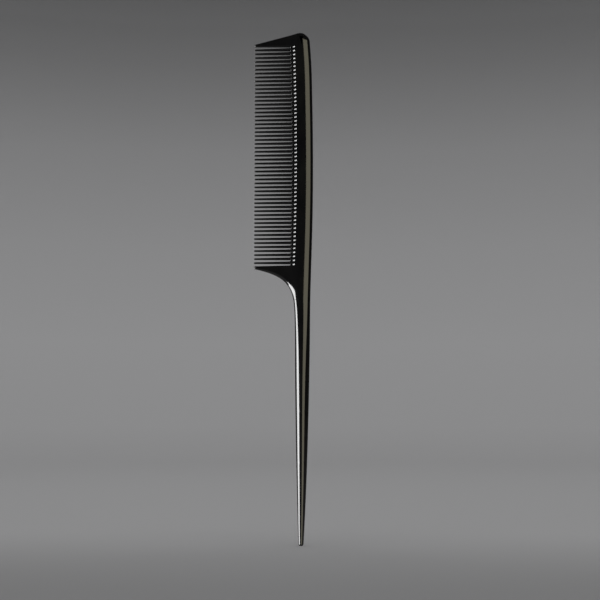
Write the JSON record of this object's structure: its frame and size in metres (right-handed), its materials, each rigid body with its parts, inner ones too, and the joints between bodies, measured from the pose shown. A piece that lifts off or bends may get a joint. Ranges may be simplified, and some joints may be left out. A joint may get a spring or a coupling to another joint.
{
  "type": "rat tail comb",
  "caption": "Rigid rat tail comb with fine close-set teeth between thicker guard teeth, a slim rounded spine and a long tapered tail for parting hair.",
  "frame": {"origin": "centre of the blunt tip of the tail", "axes": "+Z along the comb from the tail tip to the head, -X towards the tooth tips, +X towards the back of the spine, -Y and +Y out of the two equal faces"},
  "size_m": [0.0256, 0.0058, 0.2219],
  "materials": {
    "comb_body": "gloss",
    "comb_teeth": "gloss"
  },
  "bodies": {
    "root": {"tail": "comb_body", "neck_guard": "comb_body", "spine": "comb_body", "end_guard": "comb_body", "tooth_01": "comb_teeth", "tooth_02": "comb_teeth", "tooth_03": "comb_teeth", "tooth_04": "comb_teeth", "tooth_05": "comb_teeth", "tooth_06": "comb_teeth", "tooth_07": "comb_teeth", "tooth_08": "comb_teeth", "tooth_09": "comb_teeth", "tooth_10": "comb_teeth", "tooth_11": "comb_teeth", "tooth_12": "comb_teeth", "tooth_13": "comb_teeth", "tooth_14": "comb_teeth", "tooth_15": "comb_teeth", "tooth_16": "comb_teeth", "tooth_17": "comb_teeth", "tooth_18": "comb_teeth", "tooth_19": "comb_teeth", "tooth_20": "comb_teeth", "tooth_21": "comb_teeth", "tooth_22": "comb_teeth", "tooth_23": "comb_teeth", "tooth_24": "comb_teeth", "tooth_25": "comb_teeth", "tooth_26": "comb_teeth", "tooth_27": "comb_teeth", "tooth_28": "comb_teeth", "tooth_29": "comb_teeth", "tooth_30": "comb_teeth", "tooth_31": "comb_teeth", "tooth_32": "comb_teeth", "tooth_33": "comb_teeth", "tooth_34": "comb_teeth", "tooth_35": "comb_teeth", "tooth_36": "comb_teeth", "tooth_37": "comb_teeth", "tooth_38": "comb_teeth", "tooth_39": "comb_teeth", "tooth_40": "comb_teeth", "tooth_41": "comb_teeth", "tooth_42": "comb_teeth", "tooth_43": "comb_teeth", "tooth_44": "comb_teeth", "tooth_45": "comb_teeth", "tooth_46": "comb_teeth", "tooth_47": "comb_teeth", "tooth_48": "comb_teeth", "tooth_49": "comb_teeth", "tooth_50": "comb_teeth", "tooth_51": "comb_teeth", "tooth_52": "comb_teeth", "tooth_53": "comb_teeth", "tooth_54": "comb_teeth", "tooth_55": "comb_teeth"}
  },
  "joints": []
}
